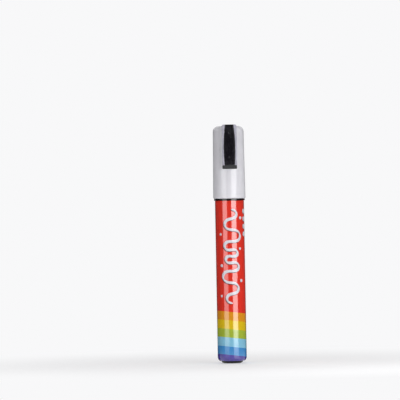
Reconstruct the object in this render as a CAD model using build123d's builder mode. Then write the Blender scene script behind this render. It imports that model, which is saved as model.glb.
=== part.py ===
from build123d import *
import os
from math import cos, dist, pi, radians, sin, sqrt, tau

# Liquid chalk marker, standing on its closed end. +Z runs along the marker, the origin is
# the centre of its flat foot, and the pocket clip faces -Y. Millimetres.

# Barrel and printed film
marker_radius = 8.8  # outside of the film
film = 0.2
glue = 0.02  # between film and barrel
barrel_wall = 1.05
barrel_length = 97.6
barrel_floor = 1.4
barrel_floor_corner = 1.6  # inside corner of the closed end
end_corner = 3.0  # rounded corner of the closed end, over the film
film_wrap = 68.0  # degrees of that corner that the film follows
film_margin = 0.1  # bare strip between film and collar

# Tail plug
plug_flange_gap = 0.35  # inside the film's lower edge
plug_flange_height = 1.2
plug_flat_share = 0.7  # of the flange's radius, flat to stand on
spigot_share = 0.7  # of the flange's radius
plug_spigot_length = 5.4
plug_bead = 0.3
plug_bead_length = 1.0
plug_floor = 2.2
hollow_share = 0.55  # of the spigot's radius

# Mixing ball
ball_share = 1.2  # of the radius of the plug's hollow, whose rim it rests on
ball_gap = 0.1

# Collar, from the skirt inside the barrel to the nozzle round the nib
skirt_length = 14.5
skirt_wall = 2.2
skirt_lead = 0.5
snap_height = 0.25
snap_width = 1.2
snap_rise = 3.0
collar_flange = 1.1
flange_step = 0.5  # of the flange outside the film
seat_step = 0.5
seat_length = 8.0
seat_bead = 0.1
seat_bead_width = 1.0
shoulder_length = 4.0
shoulder_edge = 0.8
land_step = 2.7  # from the cap's seat in to the sealing land
land_length = 5.0
nozzle_length = 9.0
nozzle_wall = 1.1
nozzle_edge = 0.4
channel_count = 6
channel_width = 0.9
channel_depth = 0.5
chamber_step = 0.75
chamber_margin = 2.0  # above the nib's rear end
valve_bore_depth = 15.8

# Seals
ring_radius = 0.6  # wire of the collar's O-ring
ring_drop = 5.0  # from the barrel's mouth
ring_gap = 0.02
seal_thickness = 1.6
flow_share = 0.32  # of the poppet's face that the seal's hole leaves open to ink

# Valve
housing_wall = 0.95
window_count = 4
window_width = 3.0
window_height = 5.0
window_rise = 2.6
cover_thickness = 1.3
cover_spigot = 1.2
cover_margin = 0.3
port_count = 4
pin_radius = 1.4
pin_reach = 3.8  # above the seal
poppet_height = 1.6
poppet_gap = 0.7
seating_gap = 0.02
tail_radius = 1.2
tail_margin = 0.2
wire_radius = 0.25
spring_share = 0.58  # of the way from the stem out to the poppet's rim
spring_turns = 6

# Nib
nib_radius = 2.75
nib_reach = 8.0  # out of the nozzle
ogive_radius = 4.0
tip_radius = 1.4

# Cap and its inner cup
cap_gap = 0.05
rim_gap = 0.1
cap_wall = 1.35
cap_draft = 0.5  # radius lost from rim to crown
mouth_margin = 1.3  # straight stretch of the hollow above the collar's seat
rim_edge = 0.8
crown_thickness = 1.5
crown_radius = 3.4
crown_corner = 1.2
rib_height = 4.95
rib_width = 0.9
rib_bite = 0.5
land_gap = 0.05
inner_wall = 0.9
mouth_gap = 0.5
head_room = 2.5
roof_thickness = 1.2
roof_corner = 1.5
inner_flange = 1.4

# Clip
clip_width = 8.9
clip_rise = 0.7  # above the crown
arm_length = 24.6
arm_thickness = 1.7
arm_corner = 1.0
arm_edge = 0.4
arm_gap = 0.3
back_plate = 0.7  # behind the black face
rail_top = 1.9  # widths of the frame beside the black face
rail_middle = 0.93
rail_bottom = 1.35
pad_rise = 0.4
pad_edge = 0.3
pad_lip = 0.7  # rounding of the face's lower end, over the foot
pad_crown = 0.08  # fall of the face from its middle to its sides
peg_radius = 0.7
peg_inset = 5.0
foot_height = 2.25
foot_gap = 0.3
foot_setback = 0.85
foot_edge = 0.5
foot_end = 0.45  # rounding of the foot's two ends
knuckle_radius = 1.1
knuckle_length = 5.0
knuckle_gap = 0.05
knuckle_drop = 2.5  # below the crown
socket_wall = 0.5  # between the socket and the cap's hollow
knuckle_side_gap = 0.1
neck_thickness = 1.2
neck_gap = 0.15
boss_cheek = 1.0
lip_setback = 0.05  # the boss's face lies this far behind the knuckle's front
boss_wall = 1.25  # under the socket
boss_step = 0.3
boss_bite = 1.1
boss_edge = 0.5

# Fits
press_gap = 0.03
slide_gap = 0.1

# Radii worked out from the outside inwards
barrel_radius = marker_radius - film - glue
barrel_bore = barrel_radius - barrel_wall
film_edge = marker_radius - end_corner + (end_corner - film) * cos(radians(film_wrap))
plug_flange_radius = film_edge - plug_flange_gap
plug_flat_radius = plug_flat_share * plug_flange_radius
plug_spigot_radius = spigot_share * plug_flange_radius
plug_hole = plug_spigot_radius + press_gap
plug_core_radius = hollow_share * plug_spigot_radius
ball_radius = ball_share * plug_core_radius
skirt_radius = barrel_bore - press_gap
ring_centre = barrel_bore - ring_gap - ring_radius
groove_floor = ring_centre - ring_radius - ring_gap
valve_bore = skirt_radius - skirt_wall
housing_radius = valve_bore - press_gap
housing_bore = housing_radius - housing_wall
poppet_radius = housing_bore - poppet_gap
seal_hole = pin_radius + flow_share * (poppet_radius - pin_radius)
guide_radius = tail_radius + slide_gap
port_circle = (guide_radius + housing_bore) / 2
port_radius = (housing_bore - guide_radius) / 4
spring_radius = tail_radius + spring_share * (poppet_radius - tail_radius)
nib_bore = nib_radius + slide_gap
nozzle_radius = nib_bore + nozzle_wall
chamber_radius = nib_bore + chamber_step
flange_radius = marker_radius + flange_step
seat_radius = marker_radius - seat_step
land_radius = seat_radius - land_step
cap_bore = seat_radius + seat_bead + cap_gap
cap_rim_radius = cap_bore + cap_wall
cap_top_radius = cap_rim_radius - cap_draft
cap_top_bore = cap_top_radius - cap_wall
inner_bore = land_radius + land_gap
inner_radius = inner_bore + inner_wall

# Heights worked out from the foot upwards
barrel_bottom = plug_flange_height
floor_top = barrel_bottom + barrel_floor
barrel_top = barrel_bottom + barrel_length
film_top = barrel_top - film_margin
corner_centre = barrel_bottom + end_corner - film - glue
spigot_top = barrel_bottom + plug_spigot_length
ball_centre = spigot_top + sqrt(ball_radius**2 - plug_core_radius**2) + ball_gap
skirt_bottom = barrel_top - skirt_length
ring_height = barrel_top - ring_drop
snap_centre = skirt_bottom + snap_rise
valve_shoulder = skirt_bottom + valve_bore_depth
seal_bottom = valve_shoulder - seal_thickness
cover_bottom = skirt_bottom + cover_margin
housing_bottom = cover_bottom + cover_thickness
cover_top = housing_bottom + cover_spigot
poppet_top = seal_bottom - seating_gap
poppet_bottom = poppet_top - poppet_height
tail_bottom = cover_bottom + tail_margin
collar_top = barrel_top + collar_flange
seat_top = collar_top + seat_length
shoulder_top = seat_top + shoulder_length
land_top = shoulder_top + land_length
nozzle_top = land_top + nozzle_length
nib_tip = nozzle_top + nib_reach
nib_rear = valve_shoulder + pin_reach
chamber_top = nib_rear + chamber_margin
cap_rim = collar_top + rim_gap
mouth_top = seat_top + mouth_margin
inner_mouth = shoulder_top + mouth_gap
roof = nib_tip + head_room
inner_top = roof + roof_thickness
crown_inside = inner_top + rib_height
cap_top = crown_inside + crown_thickness
clip_top = cap_top + clip_rise
arm_bottom = clip_top - arm_length
foot_bottom = arm_bottom - foot_height
knuckle_height = cap_top - knuckle_drop
boss_bottom = knuckle_height - knuckle_radius - knuckle_gap - boss_wall

# Clip distances from the axis, towards -Y
socket_radius = knuckle_radius + knuckle_gap
knuckle_reach = cap_top_bore + socket_wall + socket_radius
boss_reach = knuckle_reach + knuckle_radius - lip_setback
arm_inside = boss_reach + arm_gap
arm_outside = arm_inside + arm_thickness
recess_floor = arm_inside + back_plate
pad_outside = arm_outside + pad_rise
face_top = clip_width / 2 - rail_top
face_middle = clip_width / 2 - rail_middle
face_bottom = clip_width / 2 - rail_bottom


def cap_outside(height):
    """Radius of the cap's tapered side at a height."""
    return cap_rim_radius - cap_draft * (height - cap_rim) / (cap_top - cap_rim)


def cap_inside(height):
    """Radius of the cap's tapered hollow at a height above its mouth."""
    return cap_bore + (cap_top_bore - cap_bore) * (height - mouth_top) / (crown_inside - mouth_top)


def corner(sketch, radius, height):
    """Corner of a turned section nearest to a radius and a height."""
    return sketch.vertices().sort_by_distance((radius, height))[0]


def face_outline(inset):
    """Barrel-shaped outline of the clip's black face, drawn on the recess floor."""
    middle = (clip_top + arm_bottom) / 2
    with BuildSketch(Plane.XZ.offset(recess_floor)) as outline:
        with BuildLine():
            right = ThreePointArc(
                (face_bottom - inset, arm_bottom),
                (face_middle - inset, middle),
                (face_top - inset, clip_top),
            )
            left = ThreePointArc(
                (inset - face_bottom, arm_bottom),
                (inset - face_middle, middle),
                (inset - face_top, clip_top),
            )
            Line(left @ 0, right @ 0)
            Line(left @ 1, right @ 1)
        make_face()
    return outline.sketch


os.makedirs("parts", exist_ok=True)

# Barrel: moulded tube with a rounded closed end, holed for the plug
with BuildPart() as barrel:
    with BuildSketch(Plane.XZ) as section:
        with BuildLine():
            Polyline(
                (plug_hole, barrel_bottom),
                (barrel_radius, barrel_bottom),
                (barrel_radius, barrel_top),
                (barrel_bore, barrel_top),
                (barrel_bore, floor_top),
                (plug_hole, floor_top),
                close=True,
            )
        make_face()
        fillet(corner(section, barrel_radius, barrel_bottom), radius=corner_centre - barrel_bottom)
        fillet(corner(section, barrel_bore, floor_top), radius=barrel_floor_corner)
    revolve(axis=Axis.Z)
    with BuildSketch(Plane.XZ):
        with BuildLine():
            Polyline(
                (barrel_bore, snap_centre - snap_width / 2 - press_gap),
                (barrel_bore + snap_height + press_gap, snap_centre),
                (barrel_bore, snap_centre + snap_width / 2 + press_gap),
                close=True,
            )
        make_face()
    revolve(axis=Axis.Z, mode=Mode.SUBTRACT)
barrel.part.label = "barrel"
export_step(barrel.part, "parts/barrel.step")

# Printed film, drawn round the corner of the closed end
with BuildPart() as print_sleeve:
    bend = (marker_radius - end_corner, corner_centre)
    film_inside = barrel_radius + glue
    with BuildSketch(Plane.XZ):
        with BuildLine():
            Line((film_inside, film_top), (marker_radius, film_top))
            Line((marker_radius, film_top), (marker_radius, corner_centre))
            outer = CenterArc(bend, end_corner, 0, -film_wrap)
            inner = CenterArc(bend, end_corner - film, 0, -film_wrap)
            Line(outer @ 1, inner @ 1)
            Line((film_inside, corner_centre), (film_inside, film_top))
        make_face()
    revolve(axis=Axis.Z)
print_sleeve.part.label = "print_sleeve"
export_step(print_sleeve.part, "parts/print_sleeve.step")

# Tail plug: foot flange, and a hollow spigot that snaps through the barrel's floor
with BuildPart() as tail_plug:
    bead_bottom = floor_top + press_gap
    with BuildSketch(Plane.XZ):
        with BuildLine():
            flat = Line((0, 0), (plug_flat_radius, 0))
            round_up = TangentArc(flat @ 1, (plug_flange_radius, plug_flange_height), tangent=flat % 1)
            Polyline(
                round_up @ 1,
                (plug_spigot_radius, plug_flange_height),
                (plug_spigot_radius, bead_bottom),
                (plug_spigot_radius + plug_bead, bead_bottom + plug_bead),
                (plug_spigot_radius, bead_bottom + plug_bead_length),
                (plug_spigot_radius, spigot_top),
                (plug_core_radius, spigot_top),
                (plug_core_radius, plug_floor),
                (0, plug_floor),
                flat @ 0,
            )
        make_face()
    revolve(axis=Axis.Z)
tail_plug.part.label = "tail_plug"
export_step(tail_plug.part, "parts/tail_plug.step")

# Mixing ball, resting on the rim of the plug's hollow
with BuildPart() as mixing_ball:
    with Locations((0, 0, ball_centre)):
        Sphere(ball_radius)
mixing_ball.part.label = "mixing_ball"
export_step(mixing_ball.part, "parts/mixing_ball.step")

# Collar: skirt, flange, cap seat, shoulder, sealing land and nozzle in one moulding
with BuildPart() as collar:
    with BuildSketch(Plane.XZ):
        with BuildLine():
            Polyline(
                (valve_bore, skirt_bottom),
                (skirt_radius - skirt_lead, skirt_bottom),
                (skirt_radius, skirt_bottom + skirt_lead),
                (skirt_radius, snap_centre - snap_width / 2),
                (skirt_radius + snap_height, snap_centre),
                (skirt_radius, snap_centre + snap_width / 2),
                (skirt_radius, barrel_top),
                (flange_radius, barrel_top),
                (flange_radius, collar_top),
                (seat_radius, collar_top),
                (seat_radius, seat_top),
                (land_radius, shoulder_top),
                (land_radius, land_top),
                (nozzle_radius, nozzle_top),
                (nib_bore, nozzle_top),
                (nib_bore, chamber_top),
                (chamber_radius, chamber_top),
                (chamber_radius, valve_shoulder),
                (valve_bore, valve_shoulder),
                close=True,
            )
        make_face()
    revolve(axis=Axis.Z)
    fillet(collar.edges().filter_by_position(Axis.Z, seat_top, seat_top), radius=shoulder_edge)
    nozzle_rims = collar.edges().filter_by_position(Axis.Z, nozzle_top, nozzle_top)
    fillet(nozzle_rims.sort_by(SortBy.RADIUS)[-1], radius=nozzle_edge)
    with BuildSketch(Plane.XZ):
        with Locations((ring_centre, ring_height)):
            Rectangle(2 * (ring_centre - groove_floor), 2 * (ring_radius + ring_gap))
    revolve(axis=Axis.Z, mode=Mode.SUBTRACT)
    with BuildSketch(Plane.XZ):
        with Locations((seat_radius, (collar_top + seat_top) / 2)):
            Ellipse(seat_bead, seat_bead_width / 2)
    revolve(axis=Axis.Z)
    with BuildSketch(Plane.XY.offset(chamber_top)):
        with PolarLocations(nib_bore, channel_count):
            Rectangle(2 * channel_depth, channel_width)
    extrude(amount=nozzle_top - chamber_top, mode=Mode.SUBTRACT)
collar.part.label = "collar"
export_step(collar.part, "parts/collar.step")

# Collar seal: O-ring in the skirt's groove
with BuildPart() as collar_seal:
    with BuildSketch(Plane.XZ):
        with Locations((ring_centre, ring_height)):
            Circle(ring_radius)
    revolve(axis=Axis.Z)
collar_seal.part.label = "collar_seal"
export_step(collar_seal.part, "parts/collar_seal.step")

# Valve seal: rubber washer that the poppet closes against
with BuildPart() as valve_seal:
    with BuildSketch(Plane.XY.offset(seal_bottom)):
        Circle(housing_radius)
        Circle(seal_hole, mode=Mode.SUBTRACT)
    extrude(amount=seal_thickness)
valve_seal.part.label = "valve_seal"
export_step(valve_seal.part, "parts/valve_seal.step")

# Valve housing: cage with ink windows
with BuildPart() as valve_housing:
    with BuildSketch(Plane.XY.offset(housing_bottom)):
        Circle(housing_radius)
        Circle(housing_bore, mode=Mode.SUBTRACT)
    extrude(amount=seal_bottom - housing_bottom)
    with BuildSketch(Plane.XY.offset(housing_bottom + window_rise)):
        with PolarLocations(housing_radius, window_count):
            Rectangle(4 * housing_wall, window_width)
    extrude(amount=window_height, mode=Mode.SUBTRACT)
valve_housing.part.label = "valve_housing"
export_step(valve_housing.part, "parts/valve_housing.step")

# Valve cover: rear end of the cage, with the stem's guide hole and ink ports
with BuildPart() as valve_cover:
    with BuildSketch(Plane.XY.offset(cover_bottom)):
        Circle(housing_radius)
    extrude(amount=cover_thickness)
    with BuildSketch(Plane.XY.offset(housing_bottom)):
        Circle(housing_bore - press_gap)
    extrude(amount=cover_spigot)
    with BuildSketch(Plane.XY.offset(cover_bottom)):
        Circle(guide_radius)
        with PolarLocations(port_circle, port_count):
            Circle(port_radius)
    extrude(amount=cover_thickness + cover_spigot, mode=Mode.SUBTRACT)
valve_cover.part.label = "valve_cover"
export_step(valve_cover.part, "parts/valve_cover.step")

# Valve stem: pin under the nib, poppet, and tail in the cover's guide hole
with BuildPart() as valve_stem:
    with BuildSketch(Plane.XZ):
        with BuildLine():
            Polyline(
                (0, tail_bottom),
                (tail_radius, tail_bottom),
                (tail_radius, poppet_bottom),
                (poppet_radius, poppet_bottom),
                (poppet_radius, poppet_top),
                (pin_radius, poppet_top),
                (pin_radius, nib_rear),
                (0, nib_rear),
                close=True,
            )
        make_face()
    revolve(axis=Axis.Z)
valve_stem.part.label = "valve_stem"
export_step(valve_stem.part, "parts/valve_stem.step")

# Valve spring: one round wire wound from the cover up to the poppet
spring_bottom = cover_top + wire_radius
spring_rise = (poppet_bottom - wire_radius - spring_bottom) / (spring_turns * tau)


def spring_point(angle):
    height = spring_bottom + spring_rise * angle
    return Vector(spring_radius * cos(angle), spring_radius * sin(angle), height)


def spring_heading(angle):
    return Vector(-spring_radius * sin(angle), spring_radius * cos(angle), spring_rise).normalized()


def biarc_joint(start, start_heading, end, end_heading):
    """Point where two tangent arcs from start and end meet."""
    chord = end - start
    headings = start_heading + end_heading
    spread = 2 * (1 - start_heading.dot(end_heading))
    along = chord.dot(headings)
    reach = (sqrt(along**2 + spread * chord.dot(chord)) - along) / spread
    return (start + start_heading * reach + end - end_heading * reach) * 0.5, reach


with BuildPart() as valve_spring:
    quarters = 4 * spring_turns
    with BuildLine() as wire_path:
        for quarter in range(quarters):
            start, end = spring_point(quarter * pi / 2), spring_point((quarter + 1) * pi / 2)
            start_heading = spring_heading(quarter * pi / 2)
            end_heading = spring_heading((quarter + 1) * pi / 2)
            joint, reach = biarc_joint(start, start_heading, end, end_heading)
            joint_heading = end - end_heading * reach - start - start_heading * reach
            TangentArc(start, joint, tangent=start_heading)
            TangentArc(joint, end, tangent=joint_heading)
    with BuildSketch(Plane(origin=spring_point(0), z_dir=spring_heading(0))):
        Circle(wire_radius)
    sweep(path=wire_path.wires()[0])
valve_spring.part.label = "valve_spring"
export_step(valve_spring.part, "parts/valve_spring.step")

samples_per_turn = 36
wire_points = [
    tuple(spring_point(sample * tau / samples_per_turn))
    for sample in range(spring_turns * samples_per_turn + 1)
]
least_gap = min(
    dist(near, far)
    for place, near in enumerate(wire_points)
    for far in wire_points[place + samples_per_turn // 2 :]
)
print(f"spring: least gap to itself {least_gap - 2 * wire_radius:.2f} mm")

# Nib: fibre rod with an ogive and a round tip
with BuildPart() as nib:
    ogive_centre = nib_radius - ogive_radius
    tip_rise = sqrt((ogive_radius - tip_radius) ** 2 - ogive_centre**2)
    ogive_bottom = nib_tip - tip_radius - tip_rise
    share = ogive_radius / (ogive_radius - tip_radius)
    tangent_point = (ogive_centre * (1 - share), ogive_bottom + tip_rise * share)
    with BuildSketch(Plane.XZ):
        with BuildLine():
            Line((0, nib_rear), (nib_radius, nib_rear))
            Line((nib_radius, nib_rear), (nib_radius, ogive_bottom))
            TangentArc((nib_radius, ogive_bottom), tangent_point, tangent=(0, 1))
            RadiusArc(tangent_point, (0, nib_tip), -tip_radius)
            Line((0, nib_tip), (0, nib_rear))
        make_face()
    revolve(axis=Axis.Z)
nib.part.label = "nib"
export_step(nib.part, "parts/nib.step")

# Inner cap: cup that seals on the collar's land, with a flange pressed into the cap
with BuildPart() as inner_cap:
    inner_flange_radius = cap_inside(inner_top) - press_gap
    with BuildSketch(Plane.XZ) as section:
        with BuildLine():
            Polyline(
                (inner_bore, inner_mouth),
                (inner_radius, inner_mouth),
                (inner_radius, inner_top - inner_flange),
                (inner_flange_radius, inner_top - inner_flange),
                (inner_flange_radius, inner_top),
                (0, inner_top),
                (0, roof),
                (inner_bore, roof),
                close=True,
            )
        make_face()
        fillet(corner(section, inner_bore, roof), radius=roof_corner)
    revolve(axis=Axis.Z)
inner_cap.part.label = "inner_cap"
export_step(inner_cap.part, "parts/inner_cap.step")

# Cap: tapered shell, ribs under the crown, and the clip's boss with its snap socket
with BuildPart() as cap_shell:
    with BuildSketch(Plane.XZ) as section:
        with BuildLine():
            Polyline(
                (cap_bore, cap_rim),
                (cap_rim_radius, cap_rim),
                (cap_top_radius, cap_top),
                (0, cap_top),
                (0, crown_inside),
                (cap_top_bore, crown_inside),
                (cap_bore, mouth_top),
                close=True,
            )
        make_face()
        fillet(corner(section, cap_top_radius, cap_top), radius=crown_radius)
        fillet(corner(section, cap_top_bore, crown_inside), radius=crown_corner)
        fillet(corner(section, cap_rim_radius, cap_rim), radius=rim_edge)
    revolve(axis=Axis.Z)
    with BuildSketch(Plane.XY.offset(inner_top)):
        Rectangle(2 * (cap_top_bore + rib_bite), rib_width)
        Rectangle(rib_width, 2 * (cap_top_bore + rib_bite))
    extrude(amount=rib_height)
    with BuildSketch(Plane.YZ) as boss_side:
        with BuildLine():
            Polyline(
                (-boss_reach, boss_bottom),
                (boss_bite - cap_top_radius, boss_bottom),
                (boss_bite - cap_top_radius, crown_inside),
                (crown_radius - cap_top_radius, crown_inside + boss_step),
                (crown_radius - cap_top_radius, cap_top - boss_step),
                (-boss_reach, cap_top - boss_step),
                close=True,
            )
        make_face()
        fillet(boss_side.vertices().group_by(Axis.X)[0], radius=boss_edge)
    extrude(amount=knuckle_length / 2 + boss_cheek, both=True)
    socket_length = knuckle_length + 2 * knuckle_side_gap
    with BuildSketch(Plane.YZ):
        with Locations((-knuckle_reach, knuckle_height)):
            Circle(socket_radius)
        with Locations((-(knuckle_reach + arm_inside) / 2, knuckle_height)):
            Rectangle(arm_inside - knuckle_reach, neck_thickness + 2 * neck_gap)
    extrude(amount=socket_length / 2, both=True, mode=Mode.SUBTRACT)
cap_shell.part.label = "cap_shell"
export_step(cap_shell.part, "parts/cap_shell.step")

# Clip arm: pale frame with a knuckle in the cap's socket and a recess for the black face
peg_heights = (arm_bottom + peg_inset, clip_top - peg_inset)
with BuildPart() as clip_arm:
    with BuildSketch(Plane.XZ.offset(arm_inside)) as arm_front:
        with Locations((0, (clip_top + arm_bottom) / 2)):
            Rectangle(clip_width, arm_length)
        fillet(arm_front.vertices().group_by(Axis.Y)[-1], radius=arm_corner)
    extrude(amount=arm_thickness)
    front_edges = clip_arm.faces().sort_by(Axis.Y)[0].edges()
    fillet(front_edges.sort_by(Axis.Z)[1:], radius=arm_edge)
    with BuildSketch(Plane.YZ):
        with Locations((-knuckle_reach, knuckle_height)):
            Circle(knuckle_radius)
        with Locations((-(knuckle_reach + arm_inside) / 2, knuckle_height)):
            Rectangle(arm_inside - knuckle_reach, neck_thickness)
    extrude(amount=knuckle_length / 2, both=True)
    extrude(face_outline(0), amount=arm_outside - recess_floor, mode=Mode.SUBTRACT)
    with BuildSketch(Plane.XZ.offset(arm_inside)):
        for height in peg_heights:
            with Locations((0, height)):
                Circle(peg_radius + press_gap)
    extrude(amount=arm_thickness, mode=Mode.SUBTRACT)
clip_arm.part.label = "clip_arm"
export_step(clip_arm.part, "parts/clip_arm.step")

# Clip insert: crowned black face, pegs through the arm, and the full-width foot
with BuildPart() as clip_insert:
    extrude(face_outline(press_gap), amount=pad_outside - recess_floor)
    crown_bend = (face_middle**2 + pad_crown**2) / (2 * pad_crown)
    with Locations((0, crown_bend - pad_outside, (clip_top + arm_bottom) / 2)):
        Cylinder(crown_bend, 2 * arm_length, mode=Mode.INTERSECT)
    low_edge = clip_insert.edges().group_by(Axis.Z)[0].sort_by(Axis.Y)[0]
    fillet(low_edge, radius=pad_lip)
    pad_edges = clip_insert.faces().sort_by(Axis.Y)[0].edges()
    fillet(pad_edges.sort_by(Axis.Z)[1:], radius=pad_edge)
    with BuildSketch(Plane.XZ.offset(arm_inside)):
        for height in peg_heights:
            with Locations((0, height)):
                Circle(peg_radius)
    extrude(amount=recess_floor - arm_inside)
    foot_inside = cap_outside(foot_bottom) + foot_gap
    foot_outside = pad_outside - foot_setback
    with BuildSketch(Plane.YZ) as foot_side:
        with BuildLine():
            Polyline(
                (-foot_inside, foot_bottom),
                (-foot_outside, foot_bottom),
                (-foot_outside, arm_bottom),
                (-foot_inside, arm_bottom),
                close=True,
            )
        make_face()
        fillet(foot_side.vertices().group_by(Axis.Y)[0], radius=foot_edge)
    extrude(amount=clip_width / 2, both=True)
    foot_ends = clip_insert.faces().filter_by(Axis.X)
    for end in (foot_ends.sort_by(Axis.X)[0], foot_ends.sort_by(Axis.X)[-1]):
        fillet(end.edges(), radius=foot_end)
clip_insert.part.label = "clip_insert"
export_step(clip_insert.part, "parts/clip_insert.step")
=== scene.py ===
from math import cos, pi, radians, sin, tan

import bmesh
import bpy
import numpy as np
from mathutils import Matrix, Vector


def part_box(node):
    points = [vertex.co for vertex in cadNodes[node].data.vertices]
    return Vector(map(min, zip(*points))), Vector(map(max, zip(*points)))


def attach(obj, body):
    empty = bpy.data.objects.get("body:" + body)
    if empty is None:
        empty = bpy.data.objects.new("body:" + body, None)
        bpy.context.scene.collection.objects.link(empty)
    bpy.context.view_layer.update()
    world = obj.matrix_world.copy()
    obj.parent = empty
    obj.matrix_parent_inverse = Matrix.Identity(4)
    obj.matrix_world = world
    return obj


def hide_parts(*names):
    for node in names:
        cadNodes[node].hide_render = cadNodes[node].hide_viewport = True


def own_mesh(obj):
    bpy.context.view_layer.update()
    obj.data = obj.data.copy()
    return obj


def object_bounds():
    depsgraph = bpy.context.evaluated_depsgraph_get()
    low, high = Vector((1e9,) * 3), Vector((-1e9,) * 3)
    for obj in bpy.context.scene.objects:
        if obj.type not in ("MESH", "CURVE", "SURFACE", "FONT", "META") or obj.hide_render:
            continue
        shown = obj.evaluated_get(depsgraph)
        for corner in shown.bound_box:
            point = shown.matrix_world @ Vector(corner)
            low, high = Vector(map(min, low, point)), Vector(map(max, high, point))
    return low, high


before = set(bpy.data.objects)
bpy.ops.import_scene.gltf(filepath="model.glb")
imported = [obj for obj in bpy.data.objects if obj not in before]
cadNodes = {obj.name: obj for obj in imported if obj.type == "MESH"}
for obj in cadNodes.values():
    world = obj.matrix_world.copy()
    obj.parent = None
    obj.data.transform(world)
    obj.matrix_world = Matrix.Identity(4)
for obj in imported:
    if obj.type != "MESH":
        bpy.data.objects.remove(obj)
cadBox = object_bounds()
mm = 0.001  # lengths in the dictionaries are in mm, and Blender's are in metres
wideSpan, narrowSpan = (0.3, 0.7), (0.35, 0.65)  # where most of a noise texture's values lie
mixFactor, mixFirst, mixSecond, mixResult = 0, 6, 7, 2  # a colour Mix node's sockets, whose names repeat


def toLinear(hexCode):  # sRGB hex to linear colour with full alpha
    parts = np.array([int(hexCode[i:i + 2], 16) for i in (1, 3, 5)]) / 255
    parts = np.where(parts <= 0.04045, parts / 12.92, ((parts + 0.055) / 1.055) ** 2.4)
    return (*parts.tolist(), 1.0)


def scaleFor(size):  # texture scale for a pattern's size in mm
    return 1 / (size * mm)


def addNode(tree, kind, inputs=(), **settings):
    # inputs go by socket name or number, or in socket order: each is a value, or a socket to link from
    made = tree.nodes.new("ShaderNode" + kind)
    for name, value in settings.items():
        setattr(made, name, value)
    pairs = inputs.items() if isinstance(inputs, dict) else enumerate(inputs)
    for socket, value in pairs:
        if isinstance(value, bpy.types.NodeSocket):
            tree.links.new(value, made.inputs[socket])
        else:
            made.inputs[socket].default_value = value
    return made


def startMaterial(name):  # empty material and its Object coordinates, which are the row frame in metres
    material = bpy.data.materials.new(name)
    material.use_nodes = True
    material.node_tree.nodes.clear()
    return material, material.node_tree, addNode(material.node_tree, "TexCoord").outputs["Object"]


def fillRamp(ramp, places, hexCodes, interpolation="LINEAR"):  # colours at their places from 0 to 1
    ramp.color_ramp.interpolation = interpolation
    while len(ramp.color_ramp.elements) < len(places):
        ramp.color_ramp.elements.new(1.0)
    for element, place, hexCode in zip(ramp.color_ramp.elements, places, hexCodes):
        element.position = place
        element.color = toLinear(hexCode)
    return ramp.outputs["Color"]


def closeMaterial(tree, inputs):  # puts the Principled shader and the output at the end
    shader = addNode(tree, "BsdfPrincipled", inputs)
    addNode(tree, "OutputMaterial", {"Surface": shader.outputs["BSDF"]})


def cloudyColour(tree, place, look):  # soft clouds in the plastic, between its deep and its pale tone
    cloud = addNode(tree, "TexNoise", {"Vector": place, "Scale": scaleFor(look["cloud"]), "Detail": 2.0})
    tone = addNode(tree, "ValToRGB", {"Fac": cloud.outputs["Fac"]})
    return fillRamp(tone, wideSpan, (look["deep"], look["pale"]))


# Injection-moulded polypropylene of the cap: milky white, soft glow inside, smooth skin, faint draw lines
capPlastic = {"pale": "#DAD9DE", "deep": "#D5D4D9", "cloud": 7.0, "line": 0.55, "stretch": 0.02,
              "grain": 0.3, "relief": 0.004, "glow": 1.2, "roughness": (0.06, 0.11)}


def whitePolypropylene(look):
    material, tree, place = startMaterial("moulded white polypropylene")
    colour = cloudyColour(tree, place, look)
    upwards = (1, 1, look["stretch"])  # draw lines run up the cap
    along = addNode(tree, "Mapping", {"Vector": place, "Scale": upwards})
    lines = addNode(tree, "TexNoise", {"Vector": along.outputs[0], "Scale": scaleFor(look["line"]),
                                       "Detail": 2.0})
    gloss = addNode(tree, "MapRange", [lines.outputs["Fac"], *narrowSpan, *look["roughness"]])
    grain = addNode(tree, "TexNoise", {"Vector": place, "Scale": scaleFor(look["grain"]), "Detail": 3.0})
    relief = look["relief"] * mm
    skin = addNode(tree, "Bump", {"Height": grain.outputs["Fac"], "Strength": 0.15, "Distance": relief})
    drawn = addNode(tree, "Bump", {"Height": lines.outputs["Fac"], "Strength": 0.2, "Distance": relief,
                                   "Normal": skin.outputs[0]})
    closeMaterial(tree, {"Base Color": colour, "Roughness": gloss.outputs[0], "IOR": 1.49,
                         "Specular IOR Level": 0.4, "Normal": drawn.outputs[0], "Subsurface Weight": 0.25,
                         "Subsurface Radius": (1.0, 0.97, 1.0), "Subsurface Scale": look["glow"] * mm})
    return material


# Clear-ish polypropylene of the clip's frame: cooler and greyer than the cap, a little see-into
clipPlastic = {"pale": "#AEACB8", "deep": "#9C9AA7", "cloud": 5.0, "grain": 0.3, "relief": 0.006,
               "glow": 0.8, "roughness": (0.2, 0.3)}


def palePolypropylene(look):
    material, tree, place = startMaterial("moulded pale polypropylene")
    colour = cloudyColour(tree, place, look)
    grain = addNode(tree, "TexNoise", {"Vector": place, "Scale": scaleFor(look["grain"]), "Detail": 3.0})
    gloss = addNode(tree, "MapRange", [grain.outputs["Fac"], *wideSpan, *look["roughness"]])
    skin = addNode(tree, "Bump", {"Height": grain.outputs["Fac"], "Strength": 0.25,
                                  "Distance": look["relief"] * mm})
    closeMaterial(tree, {"Base Color": colour, "Roughness": gloss.outputs[0], "IOR": 1.49,
                         "Normal": skin.outputs[0], "Subsurface Weight": 0.2,
                         "Subsurface Radius": (1.0, 1.0, 1.05), "Subsurface Scale": look["glow"] * mm})
    return material


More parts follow.
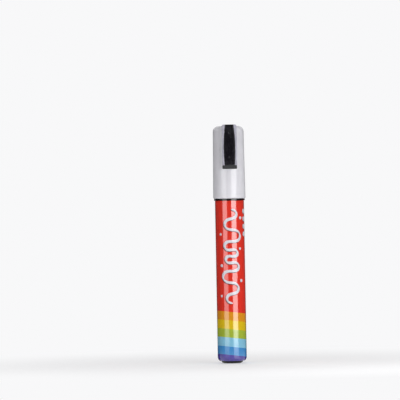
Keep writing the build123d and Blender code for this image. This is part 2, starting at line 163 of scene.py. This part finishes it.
# Polished black ABS of the clip's face: deep gloss with smudges and stray dust; its foot is matt and greyer
clipBlack = {"face": "#131116", "worn": "#212024", "smudge": 4.0, "scratch": 0.35, "stretch": 0.04,
             "wornSpan": (0.2, 0.36), "dullSpan": (0.15, 0.4), "roughness": (0.08, 0.18), "relief": 0.008,
             "dust": 1.7, "dustColour": "#8E8D92", "dustEdge": (0.05, 0.09), "dustShare": 0.22,
             "foot": "#1F2021", "footFade": 0.05, "footRoughness": 0.48,
             "sinkInset": 5.0, "sinkWidth": 0.75, "sinkDepth": 0.05}


def blackAbs(look):
    material, tree, place = startMaterial("polished black ABS")
    smudge = addNode(tree, "TexNoise", {"Vector": place, "Scale": scaleFor(look["smudge"]), "Detail": 4.0})
    upwards = (1, 1, look["stretch"])  # pockets rub it up and down
    along = addNode(tree, "Mapping", {"Vector": place, "Scale": upwards})
    rubbed = addNode(tree, "TexNoise", {"Vector": along.outputs[0], "Scale": scaleFor(look["scratch"]),
                                        "Detail": 2.0})
    wear = addNode(tree, "Math", [smudge.outputs["Fac"], rubbed.outputs["Fac"]], operation="MULTIPLY")
    tone = addNode(tree, "ValToRGB", {"Fac": wear.outputs[0]})
    colour = fillRamp(tone, look["wornSpan"], (look["face"], look["worn"]))
    specks = addNode(tree, "TexVoronoi", {"Vector": place, "Scale": scaleFor(look["dust"]),
                                          "Randomness": 1.0})
    dust = addNode(tree, "MapRange", [specks.outputs["Distance"], *look["dustEdge"], look["dustShare"], 0.0])
    dusty = addNode(tree, "Mix", {mixFactor: dust.outputs[0], mixFirst: colour,
                                  mixSecond: toLinear(look["dustColour"])}, data_type="RGBA")
    height = addNode(tree, "SeparateXYZ", [place])
    footTop, armTop = (corner[2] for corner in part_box("clip_arm"))
    foot = addNode(tree, "MapRange", [height.outputs["Z"], footTop, footTop - look["footFade"] * mm])
    footed = addNode(tree, "Mix", {mixFactor: foot.outputs[0], mixFirst: dusty.outputs[mixResult],
                                   mixSecond: toLinear(look["foot"])}, data_type="RGBA")
    shine = addNode(tree, "MapRange", [wear.outputs[0], *look["dullSpan"], *look["roughness"]])
    gloss = addNode(tree, "Mix", {"Factor": foot.outputs[0], "A": shine.outputs[0],
                                  "B": look["footRoughness"]}, data_type="FLOAT")
    skin = addNode(tree, "Bump", {"Height": wear.outputs[0], "Strength": 0.25,
                                  "Distance": look["relief"] * mm})
    inset = look["sinkInset"] * mm
    for sink in (footTop + inset, armTop - inset):  # faint sink marks over the two pegs
        shifted = addNode(tree, "Mapping", {"Vector": place, "Location": (0, 0, -sink), "Scale": (1, 0, 1)})
        fromPeg = addNode(tree, "VectorMath", [shifted.outputs[0]], operation="LENGTH")
        hollow = addNode(tree, "MapRange", [fromPeg.outputs["Value"], 0.0, look["sinkWidth"] * mm],
                         interpolation_type="SMOOTHSTEP")
        skin = addNode(tree, "Bump", {"Height": hollow.outputs[0], "Strength": 1.0,
                                      "Distance": look["sinkDepth"] * mm, "Normal": skin.outputs[0]})
    closeMaterial(tree, {"Base Color": footed.outputs[mixResult], "Roughness": gloss.outputs["Result"],
                         "Specular IOR Level": 0.35, "Normal": skin.outputs[0]})
    return material


# Gravure-printed polypropylene film: red with six slanted stripes, glossy, a little uneven on the barrel
filmPrint = {"slant": 7.0, "lean": 0.038,  # slant in degrees, lean as rise per depth
             "red": "#DD3426", "rampLength": 40.0, "stripesTop": 30.88,
             "stripes": [(0.0, "#45389A"), (4.82, "#3A8BC9"), (9.82, "#84C1DB"), (15.24, "#A3B73B"),
                         (20.41, "#DCBB18"), (25.76, "#DC911F")],
             "mottle": 0.5, "darkInk": "#5A0C10", "darkShare": 0.1, "wave": 8.0, "waveHeight": 0.03,
             "roughness": (0.08, 0.14)}


def printedFilm(look):
    material, tree, place = startMaterial("printed glossy film")
    span = look["rampLength"] * mm  # height plus the slant, as a share of the ramp's length
    rise = (tan(radians(look["slant"])) / span, look["lean"] / span, 1 / span)
    slanted = addNode(tree, "VectorMath", [place, rise], operation="DOT_PRODUCT")
    lows, colours = zip(*look["stripes"], (look["stripesTop"], look["red"]))
    bands = addNode(tree, "ValToRGB", {"Fac": slanted.outputs["Value"]})
    colour = fillRamp(bands, [low / look["rampLength"] for low in lows], colours, "CONSTANT")
    mottle = addNode(tree, "TexNoise", {"Vector": place, "Scale": scaleFor(look["mottle"]), "Detail": 3.0})
    density = addNode(tree, "MapRange", [mottle.outputs["Fac"], *wideSpan, 0.0, look["darkShare"]])
    inked = addNode(tree, "Mix", {mixFactor: density.outputs[0], mixFirst: colour,
                                  mixSecond: toLinear(look["darkInk"])}, data_type="RGBA")
    wave = addNode(tree, "TexNoise", {"Vector": place, "Scale": scaleFor(look["wave"]), "Detail": 1.0})
    skin = addNode(tree, "Bump", {"Height": wave.outputs["Fac"], "Strength": 1.0,
                                  "Distance": look["waveHeight"] * mm})
    gloss = addNode(tree, "MapRange", [mottle.outputs["Fac"], *wideSpan, *look["roughness"]])
    closeMaterial(tree, {"Base Color": inked.outputs[mixResult], "Roughness": gloss.outputs[0], "IOR": 1.53,
                         "Normal": skin.outputs[0], "Coat Weight": 1.0, "Coat Roughness": 0.08,
                         "Coat IOR": 1.5})
    return material


# Chalk-white overprint and its dark shadow: opaque screen ink with a dry, slightly broken tone
overprintLook = {"grit": 0.35, "toneSpan": (0.36, 0.55), "relief": 0.008,
                 "chalk-white overprint": ("#C0BEC7", "#D0CFD6"),  # each ink where it is thin and full
                 "dark overprint": ("#571317", "#3B0F12")}


def overprintInk(name, look):
    material, tree, place = startMaterial(name)
    grit = addNode(tree, "TexNoise", {"Vector": place, "Scale": scaleFor(look["grit"]), "Detail": 4.0,
                                      "Roughness": 0.65})
    tone = addNode(tree, "ValToRGB", {"Fac": grit.outputs["Fac"]})
    colour = fillRamp(tone, look["toneSpan"], look[name])
    skin = addNode(tree, "Bump", {"Height": grit.outputs["Fac"], "Strength": 0.3,
                                  "Distance": look["relief"] * mm})
    closeMaterial(tree, {"Base Color": colour, "Roughness": 0.34, "IOR": 1.5, "Normal": skin.outputs[0]})
    return material


def grainSkin(tree, place, look, detail, strength):
    # one noise tints the colour, varies the gloss and lifts the skin
    grain = addNode(tree, "TexNoise", {"Vector": place, "Scale": scaleFor(look["grain"]), "Detail": detail})
    tone = addNode(tree, "ValToRGB", {"Fac": grain.outputs["Fac"]})
    gloss = addNode(tree, "MapRange", [grain.outputs["Fac"], *wideSpan, *look["roughness"]])
    skin = addNode(tree, "Bump", {"Height": grain.outputs["Fac"], "Strength": strength,
                                  "Distance": look["relief"] * mm})
    return {"Base Color": fillRamp(tone, narrowSpan, (look["deep"], look["pale"])),
            "Roughness": gloss.outputs[0], "Normal": skin.outputs[0]}


# Plain finishes inside and at the ends: glossy black, milky natural plastics, dull rubber and fibre
plainFinishes = {
    "body_black": {"name": "moulded black polypropylene", "pale": "#1B1719", "deep": "#110E10",
                   "grain": 0.4, "stretch": 1.0, "roughness": (0.12, 0.22), "relief": 0.008, "glow": 0.0},
    "inner_natural": {"name": "moulded natural polyethylene", "pale": "#ECE8DD", "deep": "#E2DDD0",
                      "grain": 0.6, "stretch": 1.0, "roughness": (0.34, 0.46), "relief": 0.01, "glow": 1.5},
    "valve_natural": {"name": "moulded natural acetal", "pale": "#F0EEE6", "deep": "#E5E2D8",
                      "grain": 0.5, "stretch": 1.0, "roughness": (0.26, 0.36), "relief": 0.008, "glow": 0.6},
    "seal_rubber": {"name": "nitrile rubber", "pale": "#232324", "deep": "#161617",
                    "grain": 0.25, "stretch": 1.0, "roughness": (0.6, 0.8), "relief": 0.02, "glow": 0.0},
    "nib_fibre": {"name": "bonded polyester fibre", "pale": "#F4F2EC", "deep": "#D8D4CA",
                  "grain": 0.16, "stretch": 0.06, "roughness": (0.8, 0.95), "relief": 0.05, "glow": 0.5},
}
leastGlow = 0.1  # keeps the glow's scale above 0 in finishes that have none


def plainMoulding(look):
    material, tree, place = startMaterial(look["name"])
    upwards = (1, 1, look["stretch"])  # fibres run along the nib
    along = addNode(tree, "Mapping", {"Vector": place, "Scale": upwards})
    skin = grainSkin(tree, along.outputs[0], look, detail=4.0, strength=0.5)
    closeMaterial(tree, {**skin, "IOR": 1.5, "Subsurface Weight": 0.3 if look["glow"] else 0.0,
                         "Subsurface Radius": (1.0, 0.9, 0.8),
                         "Subsurface Scale": max(look["glow"], leastGlow) * mm})
    return material


# Steels: bright drawn wire with fine marks, and a tumbled ball with tiny pits that shines more
steels = {
    "spring_steel": {"name": "drawn stainless wire", "pale": "#C9C6C0", "deep": "#A9A6A0", "grain": 0.12,
                     "roughness": (0.22, 0.36), "relief": 0.006},
    "ball_steel": {"name": "tumbled stainless ball", "pale": "#CFCDC9", "deep": "#BAB8B4", "grain": 0.3,
                   "roughness": (0.08, 0.2), "relief": 0.004},
}


def bareSteel(look):
    material, tree, place = startMaterial(look["name"])
    closeMaterial(tree, {**grainSkin(tree, place, look, detail=3.0, strength=0.4), "Metallic": 1.0})
    return material


finishes = {"cap_white": whitePolypropylene(capPlastic), "clip_pale": palePolypropylene(clipPlastic),
            "clip_black": blackAbs(clipBlack), "print_film": printedFilm(filmPrint)}
finishes.update({slot: plainMoulding(look) for slot, look in plainFinishes.items()})
finishes.update({slot: bareSteel(look) for slot, look in steels.items()})
for node in cadNodes.values():
    node.data.materials[0] = finishes[node.data.materials[0].name]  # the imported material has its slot's name
print("finishes:", len(finishes), "materials on the CAD nodes")


def gridFaces(rows, columns, closeRows=False, closeColumns=False):
    # the four corners of each cell, for points that are numbered row by row
    spot = np.arange(rows * columns).reshape(rows, columns)
    spot = np.hstack([spot, spot[:, :1]]) if closeColumns else spot
    spot = np.vstack([spot, spot[:1]]) if closeRows else spot
    return np.stack([spot[:-1, :-1], spot[:-1, 1:], spot[1:, 1:], spot[1:, :-1]], axis=-1).reshape(-1, 4)


def linkMesh(name, points, faces, material):  # an object at the origin, with its place in its mesh
    mesh = bpy.data.meshes.new(name)
    mesh.from_pydata(points.reshape(-1, 3).tolist(), [], faces.tolist())
    mesh.materials.append(material)
    made = bpy.data.objects.new(name, mesh)
    bpy.context.scene.collection.objects.link(made)
    return made


pieceLook = {"sharpAngle": 40.0, "weld": 1e-5}  # degrees, and the distance within which poles close


def surfacePiece(name, grid, material, body, closeRows=True):
    # grid is rows x columns x 3 in metres; each row is a closed ring, and rows close too in a looped shape
    piece = linkMesh(name, grid, gridFaces(*grid.shape[:2], closeRows, closeColumns=True), material)
    shell = bmesh.new()
    shell.from_mesh(piece.data)
    bmesh.ops.remove_doubles(shell, verts=shell.verts, dist=pieceLook["weld"] * mm)
    bmesh.ops.recalc_face_normals(shell, faces=shell.faces)
    shell.to_mesh(piece.data)
    shell.free()
    piece.data.shade_smooth()
    piece.data.set_sharp_from_angle(angle=radians(pieceLook["sharpAngle"]))
    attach(piece, body)
    return piece


# Printed film: two walls and two arcs turned about the axis, with a lapped seam behind and pleats below
filmSheet = {"thickness": 0.2, "corner": 3.0, "wrap": 55.0, "cadWrap": 68.0, "arcSteps": 14, "around": 216,
             "rim": 0.3, "rings": (70.0, 40.0, 15.0), "wander": 0.06, "wanderWaves": 3, "wanderTurn": 1.0,
             "lap": 0.07, "lapWidth": 3.2, "lapEase": 0.12, "lapStep": 0.004,  # ease and step in radians
             "pleats": 30, "pleatHeight": 0.05, "pleatSharpness": 6}


def filmSleeve(sheet):
    # radius and height along the profile, swollen by the lap and by pleats as the angle goes round
    low, high = (np.array(corner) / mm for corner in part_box("print_sleeve"))
    radius, corner = high[0], sheet["corner"]
    centre = (radius - corner, low[2] + corner * sin(radians(sheet["cadWrap"])))
    fall = np.linspace(0, radians(sheet["wrap"]), sheet["arcSteps"])  # ends short of the solid film's edge
    straight = np.array([high[2], high[2] - sheet["rim"], *sheet["rings"]])

    def wall(inset):
        bend = corner - inset
        wallR = np.append(np.full(straight.size, radius - inset), centre[0] + bend * np.cos(fall))
        wallZ = np.append(straight, centre[1] - bend * np.sin(fall))
        return wallR, wallZ

    (outerR, outerZ), (innerR, innerZ) = wall(0), wall(sheet["thickness"])
    profileR, profileZ = np.append(outerR, innerR[::-1]), np.append(outerZ, innerZ[::-1])
    isOuter = np.arange(profileR.size) < outerR.size
    edge, ease, step = sheet["lapWidth"] / radius / 2, sheet["lapEase"], sheet["lapStep"]
    theta = np.sort(np.append(np.linspace(0, 2 * pi, sheet["around"], endpoint=False),
                              pi + np.array([-edge - step, -edge, edge, edge + step])))
    lapEnds = pi + np.array([-edge - ease, -edge, edge, edge + step])
    lapped = np.interp(theta, lapEnds, [0, 1, 1, 0])  # the lap eases in, then ends
    ridge = np.clip(np.sin(sheet["pleats"] * theta), 0, 1) ** sheet["pleatSharpness"]
    onArc = np.clip((centre[1] - profileZ) / corner, 0, 1) ** 2  # pleats rise only where the film turns in
    swell = sheet["lap"] * lapped[:, None] + sheet["pleatHeight"] * ridge[:, None] * onArc[None, :]
    radii = profileR[None, :] + swell * isOuter[None, :]
    wander = sheet["wander"] * (0.5 + 0.5 * np.sin(sheet["wanderWaves"] * theta + sheet["wanderTurn"]))
    isTop = profileZ == high[2]  # only the film's top edge wanders
    heights = profileZ[None, :] - wander[:, None] * isTop[None, :]
    grid = np.stack([radii * np.sin(theta)[:, None], -radii * np.cos(theta)[:, None], heights], axis=-1) * mm
    return surfacePiece("filmSleeve", grid, finishes["print_film"], "body")


filmSkin = filmSleeve(filmSheet)
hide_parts("print_sleeve")
print("film:", len(filmSkin.data.polygons), "faces")


# Valve spring: one round wire wound up from the cover to the poppet; on the pen it shortens as the nib is
# pressed in, but this coil keeps its length
springWire = {"wire": 0.25, "turns": 6, "perTurn": 48, "section": 14, "play": 0.01}


def springCoil(wind):
    # a circle carried up a helix, square to the wire's heading; it shrinks to a point to close each end
    low, high = (np.array(corner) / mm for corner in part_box("valve_spring"))
    radius, wire = high[0] - wind["wire"], wind["wire"]
    span = 2 * pi * wind["turns"]
    turn = np.linspace(0, span, wind["perTurn"] * wind["turns"] + 1)
    turn = np.concatenate([turn[:1], turn, turn[-1:]])[:, None]
    size = wire * np.pad(np.ones(len(turn) - 2), 1)[:, None]
    rise = (high[2] - low[2] - 2 * wire) / span
    slope = np.arctan2(rise, radius)
    around = np.linspace(0, 2 * pi, wind["section"], endpoint=False)[None, :]
    outward, upward = size * np.cos(around), size * np.sin(around)
    grid = np.stack([(radius + outward) * np.cos(turn) + upward * sin(slope) * np.sin(turn),
                     (radius + outward) * np.sin(turn) - upward * sin(slope) * np.cos(turn),
                     low[2] + wire + rise * turn + upward * cos(slope)], axis=-1) * mm
    coil = surfacePiece("springCoil", grid, finishes["spring_steel"], "body",
                        closeRows=False)
    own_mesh(coil)
    return coil


valveCoil = springCoil(springWire)
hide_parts("valve_spring")
print("spring:", len(valveCoil.data.polygons), "faces")


def ripple(turn, waves):  # sum of sines, each with its count round, its start and its share
    return sum(share * np.sin(count * turn + start) for count, start, share in waves)


# Gate mark: where the sprue broke off, a low nub with a torn top in the middle of the crown
gateNub = {"radius": 0.8, "height": 0.16, "around": 36, "oval": [(2, 1.0, 0.04)],
           "torn": 0.14, "tornAbove": 0.5, "tears": [(3, 0.7, 1.0), (7, 0.0, 0.6)],
           "rings": [0.0, 0.4, 0.72, 0.9, 1.0, 1.15, 1.15, 0.0],
           "rise": [0.7, 0.75, 0.95, 1.0, 0.8, 0.0, -0.4, -0.4]}


def gateMark(nub):
    # rings of growing radius about the cap's axis, over the nub and back under it; soft waves tear its top
    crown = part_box("cap_shell")[1][2] / mm
    turn = np.linspace(0, 2 * pi, nub["around"], endpoint=False)[None, :]
    rings, rise = np.array(nub["rings"])[:, None], np.array(nub["rise"])[:, None]
    radii = nub["radius"] * rings * (1 + ripple(turn, nub["oval"]))
    torn = nub["torn"] * rings * ripple(turn, nub["tears"]) * (rise > nub["tornAbove"])
    height = crown + nub["height"] * (rise + torn)
    grid = np.stack([radii * np.cos(turn), radii * np.sin(turn), height], axis=-1) * mm
    return surfacePiece("gateNub", grid, finishes["cap_white"], "cap", closeRows=False)


print("gate mark:", len(gateMark(gateNub).data.polygons), "faces")


# Overprint on the film: one swinging chalk stroke down the front, its thin shadow, and chalk dots beside it
strokeLook = {"top": 93.5, "bottom": 36.5, "middle": 0.4, "steps": 900,
              "swings": 5, "swing": 88.0, "calmEnds": 0.12, "hurry": 0.5, "hurries": 2,
              "width": 1.9, "nib": 35.0, "thinnest": 0.5, "endSharpness": 60,  # swing and nib in degrees
              "ragged": [(410, 0.0, 0.03), (967, 2.0, 0.025)],
              "section": [(-1.0, -0.4), (-0.9, 1.0), (0.0, 1.15), (0.9, 1.0), (1.0, -0.4)],  # across, raised
              "raise": 0.02, "shadowRaise": 0.01, "shadowShift": (-0.42, -0.35)}


def onFilm(across, height, raised):
    # arc length across the front, height and lift, turned into points round the barrel
    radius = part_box("print_sleeve")[1][0] / mm
    turn, out = across / radius, radius + raised
    return np.stack([out * np.sin(turn), -out * np.cos(turn), height], axis=-1) * mm


def chalkStroke(name, look, material, shift, raised):
    # the heading swings as a cosine of the stroke's length; the width follows it as a broad nib's does
    share = np.linspace(0, 1, look["steps"])
    phase = 2 * pi * look["swings"] * share + look["hurry"] * np.sin(2 * pi * look["hurries"] * share)
    heading = radians(look["swing"]) * np.cos(phase) * (1 - look["calmEnds"] * np.cos(2 * pi * share))
    across, fall = np.cumsum(np.sin(heading)), np.cumsum(np.cos(heading))
    scale = (look["top"] - look["bottom"]) / (fall[-1] - fall[0])
    across = (across - across.mean()) * scale + look["middle"] + shift[0]
    height = look["top"] - (fall - fall[0]) * scale + shift[1]
    thin = look["thinnest"]
    broad = thin + (1 - thin) * np.abs(np.sin(heading - radians(look["nib"])))
    ends = np.sqrt(np.clip(1 - np.abs(2 * share - 1) ** look["endSharpness"], 0, 1))
    half = look["width"] / 2 * broad * ends * (1 + ripple(share, look["ragged"]))
    section = np.array(look["section"])
    offset = half[:, None] * section[None, :, 0]
    closed = section[:, 1].mean()  # each end closes to a point
    lift = raised * np.where(half[:, None] > 0, section[None, :, 1], closed)
    sideways, upwards = offset * np.cos(heading)[:, None], offset * np.sin(heading)[:, None]
    grid = onFilm(across[:, None] + sideways, height[:, None] + upwards, lift)
    return surfacePiece(name, grid, material, "body", closeRows=False)


dotLook = {"places": [(6.6, 88.2, 0.95), (6.0, 69.6, 0.8), (6.6, 50.2, 0.95), (-6.6, 78.4, 0.8),
                      (-6.2, 59.4, 0.95), (-6.6, 41.0, 0.8), (10.4, 92.2, 1.5), (10.4, 87.6, 1.5),
                      (10.4, 83.0, 1.5), (10.4, 78.4, 1.5)],  # across, height, radius
           "rings": [0.0, 0.35, 0.65, 0.93, 1.0, 1.0, 0.65, 0.35, 0.0],
           "raise": [1.0, 1.0, 1.0, 1.0, 0.2, -0.4, -0.4, -0.4, -0.4],
           "around": 28, "lobes": 3, "lobeHeight": 0.04, "shadowShift": (-0.2, -0.2)}


def chalkDot(kind, number, look, material, shift, raised):
    # a disc: rings out over its face and back under it, with lobes that start elsewhere on each dot
    across, height, radius = look["places"][number]
    turn = np.linspace(0, 2 * pi, look["around"], endpoint=False)
    uneven = 1 + ripple(turn, [(look["lobes"], number, look["lobeHeight"])])
    radii = radius * np.array(look["rings"])[:, None] * uneven[None, :]
    lift = raised * np.broadcast_to(np.array(look["raise"])[:, None], radii.shape)
    grid = onFilm(across + shift[0] + radii * np.cos(turn), height + shift[1] + radii * np.sin(turn), lift)
    return surfacePiece(f"{kind}{number + 1}", grid, material, "body", closeRows=False)


chalkInk = overprintInk("chalk-white overprint", overprintLook)
shadowInk = overprintInk("dark overprint", overprintLook)
chalkStroke("chalkStrokeShadow", strokeLook, shadowInk, strokeLook["shadowShift"], strokeLook["shadowRaise"])
chalkStroke("chalkStroke", strokeLook, chalkInk, (0, 0), strokeLook["raise"])
for number in range(len(dotLook["places"])):
    chalkDot("chalkDotShadow", number, dotLook, shadowInk, dotLook["shadowShift"], strokeLook["shadowRaise"])
    chalkDot("chalkDot", number, dotLook, chalkInk, (0, 0), strokeLook["raise"])
print("overprint: stroke and", len(dotLook["places"]), "dots")


# Camera: level, well back, a touch to the left of the clip, rolled so that the marker leans as photographed
cameraLook = {"back": 2400.0, "orbit": 2.5, "roll": 1.05, "frameWidth": 243.0, "markerRight": 18.35,
              "markerDown": 26.725, "sensor": 36.0, "farthest": 20000.0}


def setCamera(look):
    orbit, roll = radians(look["orbit"]), radians(look["roll"])
    back, level = Vector((-sin(orbit), -cos(orbit), 0)), Vector((cos(orbit), -sin(orbit), 0))
    right = level * cos(roll) - Vector((0, 0, 1)) * sin(roll)
    up = level * sin(roll) + Vector((0, 0, 1)) * cos(roll)
    middle = Vector((0, 0, (cadBox[0].z + cadBox[1].z) / 2))
    stand = back * look["back"] - right * look["markerRight"] + up * look["markerDown"]
    lens = bpy.data.cameras.new("camera")
    lens.sensor_width = look["sensor"]
    lens.lens = look["sensor"] * look["back"] / look["frameWidth"]
    lens.clip_end = look["farthest"] * mm
    camera = bpy.data.objects.new("camera", lens)
    camera.matrix_world = Matrix((right, up, back)).transposed().to_4x4()
    camera.location = middle + stand * mm
    bpy.context.scene.collection.objects.link(camera)
    bpy.context.scene.camera = camera
    print("camera:", round(lens.lens), "mm lens,", look["back"] * mm, "m away")


setCamera(cameraLook)


# Studio: two upright softboxes beside the camera, two behind, one overhead; reflections see only the last
softboxes = {
    "rightBox": {"turn": 30.0, "away": 260, "height": 80, "size": (180, 158), "radiance": 4.25},
    "leftBox": {"turn": -41.6, "away": 260, "height": 80, "size": (166, 158), "radiance": 1.55},
    "backRightBox": {"turn": 165.0, "away": 700, "height": 350, "size": (500, 600), "radiance": 2.2},
    "backLeftBox": {"turn": -165.0, "away": 700, "height": 350, "size": (500, 600), "radiance": 2.0},
    "topBox": {"place": (60, -250, 1300), "aim": 72, "size": (1100, 800), "radiance": 1.5,
               "reflected": True},
}


def setSoftbox(name, look):
    lamp = bpy.data.lights.new(name, "AREA")
    lamp.shape = "RECTANGLE"
    lamp.size, lamp.size_y = look["size"][0] * mm, look["size"][1] * mm
    lamp.energy = look["radiance"] * pi * lamp.size * lamp.size_y
    turn = radians(look.get("turn", 0))
    place = look.get("place") or (look["away"] * sin(turn), -look["away"] * cos(turn), look["height"])
    aim = Vector((0, 0, look.get("aim", place[2])))  # the upright boxes face the axis at their own height
    box = bpy.data.objects.new(name, lamp)
    box.location = Vector(place) * mm
    box.rotation_euler = (aim - Vector(place)).to_track_quat("-Z", "Y").to_euler()
    box.visible_camera, box.visible_glossy = False, look.get("reflected", False)
    bpy.context.scene.collection.objects.link(box)


def seenRays(tree):  # 1 for rays that show the background: camera, glossy and transmission
    rays = addNode(tree, "LightPath").outputs
    either = addNode(tree, "Math", [rays["Is Camera Ray"], rays["Is Glossy Ray"]], operation="MAXIMUM")
    anyOf = addNode(tree, "Math", [either.outputs[0], rays["Is Transmission Ray"]], operation="MAXIMUM")
    return anyOf.outputs[0]


stageLook = {"pale": "#F8F8F9", "floor": "#F4F4F5", "fill": 0.28, "fade": (30, 240), "leastGlow": 0.34,
             "rings": (0, 100, 400, 1200, 6000), "around": 96}


def setWorld(look):  # plain fill light, and white where the background is seen
    world = bpy.data.worlds.new("pale studio")
    bpy.context.scene.world = world
    world.use_nodes = True
    tree = world.node_tree
    tree.nodes.clear()
    fill, seen = (addNode(tree, "Background", {"Color": toLinear(look["pale"]), "Strength": strength})
                  for strength in (look["fill"], 1.0))
    shown = addNode(tree, "MixShader", [seenRays(tree), fill.outputs[0], seen.outputs[0]])
    addNode(tree, "OutputWorld", {"Surface": shown.outputs[0]})


def setFloor(look):  # rings of growing radius: lit paper that keeps the shadow, and glows more farther out
    material, tree, place = startMaterial("pale studio floor")
    paper = addNode(tree, "BsdfDiffuse", {"Color": toLinear(look["floor"])})
    glow = addNode(tree, "Emission", {"Color": toLinear(look["pale"]), "Strength": 1.0})
    away = addNode(tree, "VectorMath", [place], operation="LENGTH")
    start, end = (reach * mm for reach in look["fade"])
    fade = addNode(tree, "MapRange", [away.outputs["Value"], start, end, look["leastGlow"]],
                   interpolation_type="SMOOTHSTEP")
    share = addNode(tree, "Math", [fade.outputs[0], seenRays(tree)], operation="MULTIPLY")
    shown = addNode(tree, "MixShader", [share.outputs[0], paper.outputs[0], glow.outputs[0]])
    addNode(tree, "OutputMaterial", {"Surface": shown.outputs[0]})
    turn, reach = np.meshgrid(np.linspace(0, 2 * pi, look["around"], endpoint=False), look["rings"])
    grid = np.stack([reach * np.cos(turn), reach * np.sin(turn), 0 * turn], axis=-1) * mm
    faces = gridFaces(*turn.shape, closeColumns=True)[:, ::-1]  # turned to face up
    floor = linkMesh("floor", grid, faces, material)


def showToReflections(panel):  # the camera, shadows, diffuse and transmitted light pass it by
    panel.visible_camera = panel.visible_diffuse = panel.visible_shadow = panel.visible_transmission = False


flagLook = {"turn": (-150, 125), "near": 20, "full": 200, "away": 900, "lift": 0.3, "height": 190,
            "paper": "#3C3C3E", "steps": 60, "rings": 12, "wingReach": 16, "wingHeight": 142.5}


def setFlag(look):
    # dark paper scoop round the marker that only reflections see, so it paints dark reflections and shades
    # nothing: rings out along the floor, then upright, thinner near the marker
    material, tree = startMaterial("dark studio paper")[:2]
    paper = addNode(tree, "BsdfDiffuse", {"Color": toLinear(look["paper"])})
    clear = addNode(tree, "BsdfTransparent")
    cover = addNode(tree, "Attribute", attribute_name="cover")
    shown = addNode(tree, "MixShader", [cover.outputs["Fac"], clear.outputs[0], paper.outputs[0]])
    addNode(tree, "OutputMaterial", {"Surface": shown.outputs[0]})
    share = np.linspace(0, 1, look["rings"])
    reach = np.append(look["near"] + (look["full"] - look["near"]) * share, [look["away"], look["away"]])
    height = np.append(np.full(reach.size - 1, look["lift"]), look["height"])
    density = np.append(share ** 2 * (3 - 2 * share), [1, 1])  # S-shaped ramp
    turn = np.radians(np.linspace(*look["turn"], look["steps"]))[None, :]
    across, back = reach[:, None] * np.sin(turn), -reach[:, None] * np.cos(turn)
    grid = np.stack([across, back, height[:, None] + 0 * turn], axis=-1)
    # painted dark reflections: the wing, seen only in reflections, darkens them at the marker's edges
    wide, tall = look["wingReach"], look["wingHeight"]  # a wing through the axis parts front from back
    wing = [(-wide, 0, 0), (wide, 0, 0), (wide, 0, tall), (-wide, 0, tall)]
    points = np.vstack([grid.reshape(-1, 3), wing]) * mm
    wingFace = np.arange(len(points) - len(wing), len(points))
    flag = linkMesh("flag", points, np.vstack([gridFaces(*grid.shape[:2]), wingFace]), material)
    covered = np.append(np.repeat(density, look["steps"]), np.ones(len(wing)))
    flag.data.attributes.new("cover", "FLOAT", "POINT").data.foreach_set("value", covered)
    showToReflections(flag)


# painted highlights: glow of the panels that only reflections see
screenLook = {"rightBox": {"Card": (1.5, 2.4), "Face": (3.8, 5.6)},  # glow near and far, and low and high
              "leftBox": {"Card": (0.75, 1.2), "Face": (1.8, 3.0)},
              "near": 11.0, "far": 160, "lift": 0.5, "fullShare": 0.6}


def setScreen(name, look, box):
    # glow panels that only reflections see, in a front softbox's place: its upright face, which paints the
    # softbox's highlight, and a glowing card along the floor, which paints the highlights on down the film's
    # lower end
    turn, away, tall = radians(box["turn"]), box["away"], box["size"][1]
    ahead, up = np.array([sin(turn), -cos(turn), 0]) * away, np.array([0, 0, 1.0])
    across = np.array([cos(turn), sin(turn), 0]) * box["size"][0] / 2
    left, right, near, base = ahead - across, ahead + across, look["near"] / away, box["height"] - tall / 2
    heights = np.outer([base, base, base + tall, base + tall], up)
    corners = {"Face": np.array([left, right, right, left]) + heights,
               "Card": np.array([left * near, right * near, right, left]) + look["lift"] * up}
    spans = {"Face": (base, look["fullShare"] * tall), "Card": (look["near"], look["far"])}
    for part, points in corners.items():
        material, tree, place = startMaterial(name + part)
        if part == "Face":  # the face glows more higher up, the card farther out
            measure = addNode(tree, "SeparateXYZ", [place]).outputs["Z"]
        else:
            measure = addNode(tree, "VectorMath", [place], operation="LENGTH").outputs["Value"]
        start, end = (reach * mm for reach in spans[part])
        glow = addNode(tree, "MapRange", [measure, start, end, *look[name][part]])
        shine = addNode(tree, "Emission", {"Strength": glow.outputs[0]})
        addNode(tree, "OutputMaterial", {"Surface": shine.outputs[0]})
        screen = linkMesh(name + part, points * mm, np.arange(len(points))[None, :], material)
        showToReflections(screen)


for boxName, boxLook in softboxes.items():
    setSoftbox(boxName, boxLook)
for boxName in ("rightBox", "leftBox"):
    setScreen(boxName, screenLook, softboxes[boxName])
setWorld(stageLook)
setFloor(stageLook)
setFlag(flagLook)
bpy.context.scene.view_settings.view_transform = "Standard"
print("studio:", len(softboxes), "softboxes, floor and flag")
